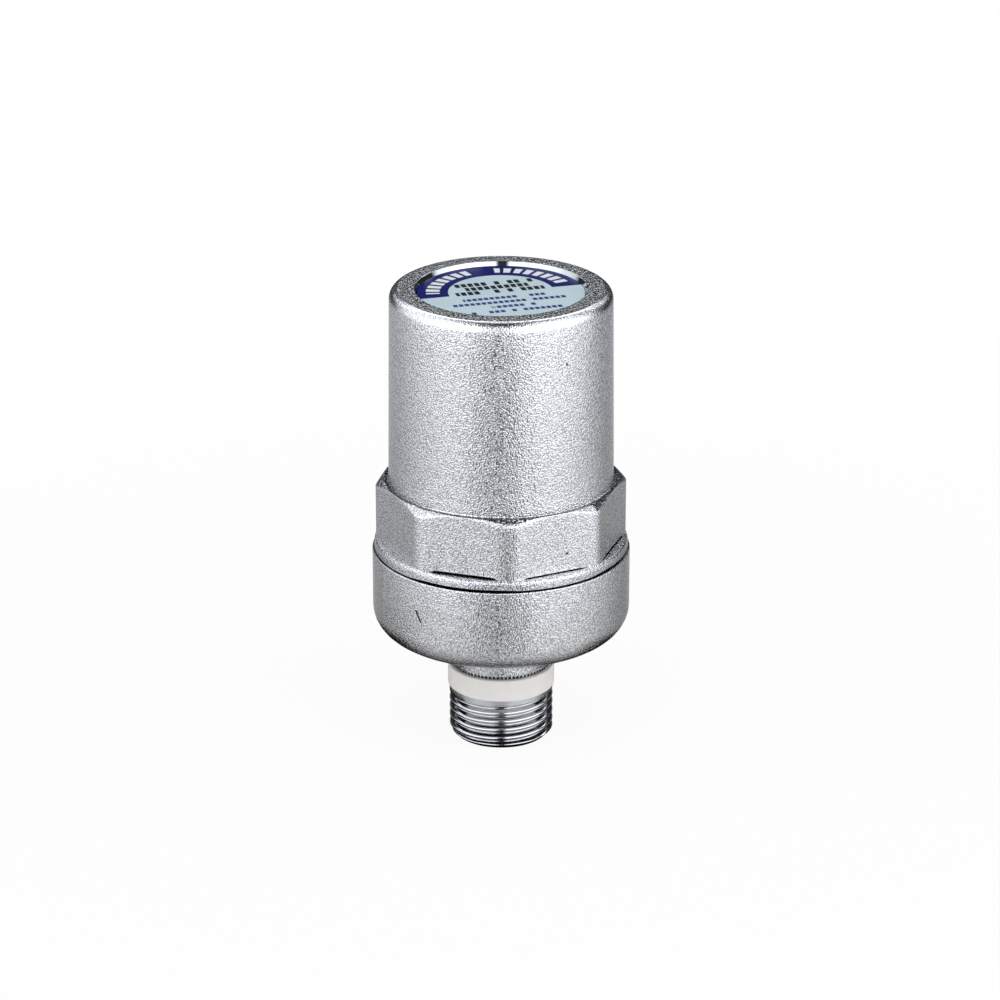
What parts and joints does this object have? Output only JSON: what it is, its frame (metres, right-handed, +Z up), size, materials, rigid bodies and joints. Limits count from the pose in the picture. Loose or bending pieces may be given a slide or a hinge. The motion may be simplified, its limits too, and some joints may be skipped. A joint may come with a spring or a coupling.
{
  "type": "water hammer arrestor",
  "caption": "Chrome-plated piston water hammer arrestor: bell-shaped cylinder with an octagon collar on a round cup, sprung piston inside, male connection thread with a sealing ring below.",
  "frame": {"origin": "centre of the free end face of the connection thread", "axes": "+Z up along the axis towards the label, -Y towards the corner of the octagon that faces the viewer"},
  "size_m": [0.0516, 0.0516, 0.0947],
  "materials": {
    "body_chrome": "blasted, then chrome plated",
    "seal_rubber": "matte",
    "label_film": "printed film",
    "seal_white": "smooth, waxy",
    "piston_polymer": "moulded, satin",
    "spring_steel": "drawn wire"
  },
  "bodies": {
    "housing": {"upper_body": "body_chrome", "lower_body": "body_chrome", "joint_o_ring": "seal_rubber", "label": "label_film", "thread_seal": "seal_white", "spring": "spring_steel"},
    "piston": {"piston": "piston_polymer", "piston_o_ring_lower": "seal_rubber", "piston_o_ring_upper": "seal_rubber"}
  },
  "joints": [
    {"name": "piston_slide", "type": "slide", "parent": "housing", "child": "piston", "axis": [0, 0, 1], "range_m": [0, 0.028], "stiffness_N_per_m": 8900, "deforming": ["spring"]}
  ]
}
